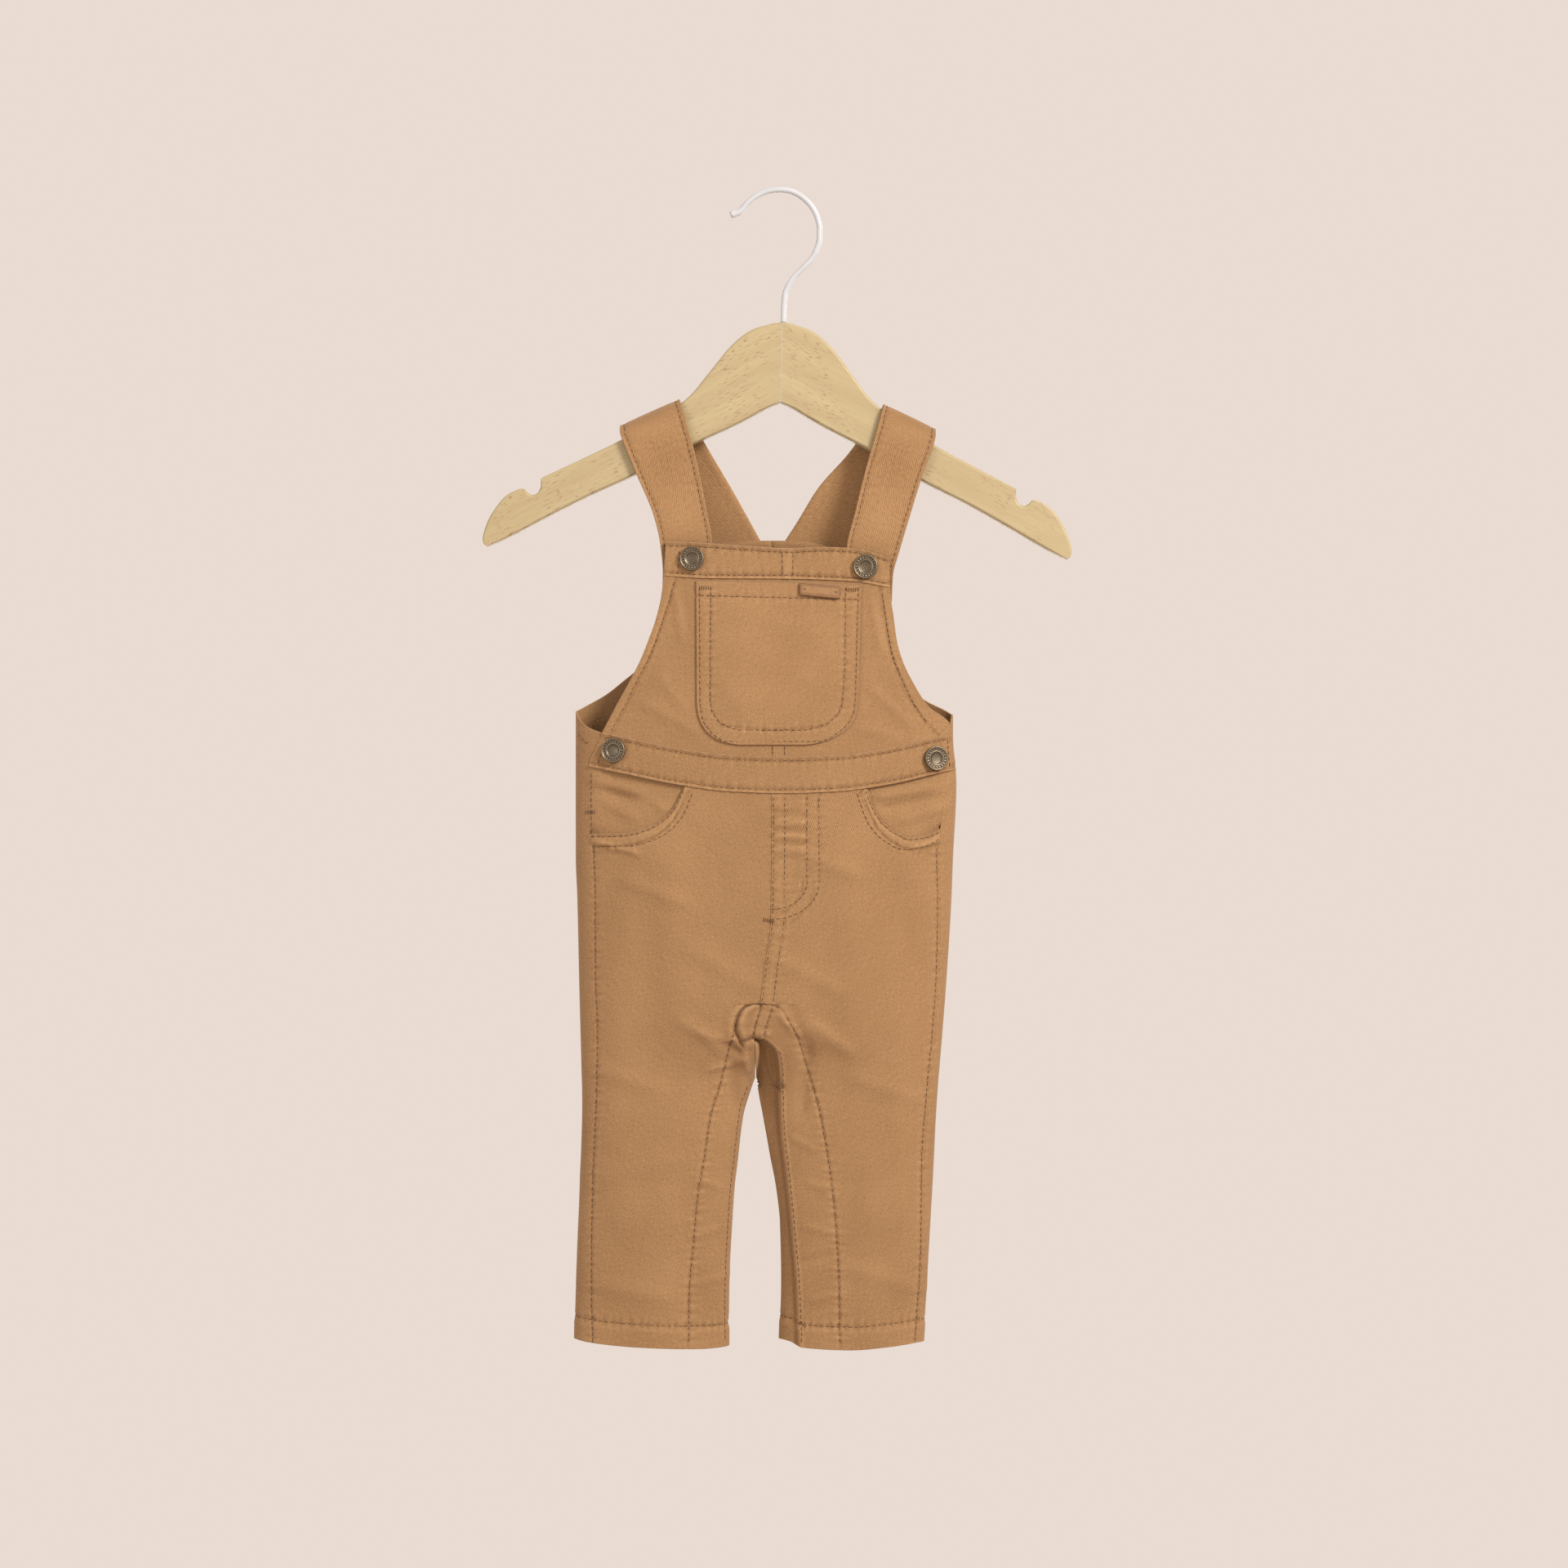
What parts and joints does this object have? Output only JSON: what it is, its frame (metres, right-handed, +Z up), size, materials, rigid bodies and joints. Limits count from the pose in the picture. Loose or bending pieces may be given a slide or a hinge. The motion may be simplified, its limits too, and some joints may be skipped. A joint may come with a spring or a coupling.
{
  "type": "baby bib overalls on a clothes hanger",
  "caption": "Baby's bib overalls in twill with snap straps, bib pocket and slanted hip pockets, hung by the straps on a notched wooden hanger with a wire hook.",
  "frame": {"origin": "the point under the top of the hook's wire where the hanger bears on its rail or peg", "axes": "+Z up, -Y towards the viewer of the garment's front, +X to that viewer's right"},
  "size_m": [0.2995, 0.0385, 0.5925],
  "materials": {
    "cloth": "matt cotton twill",
    "strap": "matt cotton twill",
    "wood": "clear satin varnish",
    "wire": "white enamel",
    "snap": "antique",
    "label": "smooth, blank"
  },
  "bodies": {
    "root": {"hook": "wire", "hanger_left": "wood", "hanger_right": "wood", "strap_left": "strap", "strap_right": "strap", "bib_left": "cloth", "bib_right": "cloth", "bib_band": "cloth", "bib_pocket": "cloth", "label": "label", "waistband": "cloth", "front_left": "cloth", "front_right": "cloth", "hip_pocket_left": "cloth", "hip_pocket_right": "cloth", "gusset_left": "cloth", "gusset_right": "cloth", "back_left": "cloth", "back_right": "cloth", "snap_bib_left": "snap", "snap_bib_right": "snap", "snap_waist_left": "snap", "snap_waist_right": "snap"}
  },
  "joints": []
}
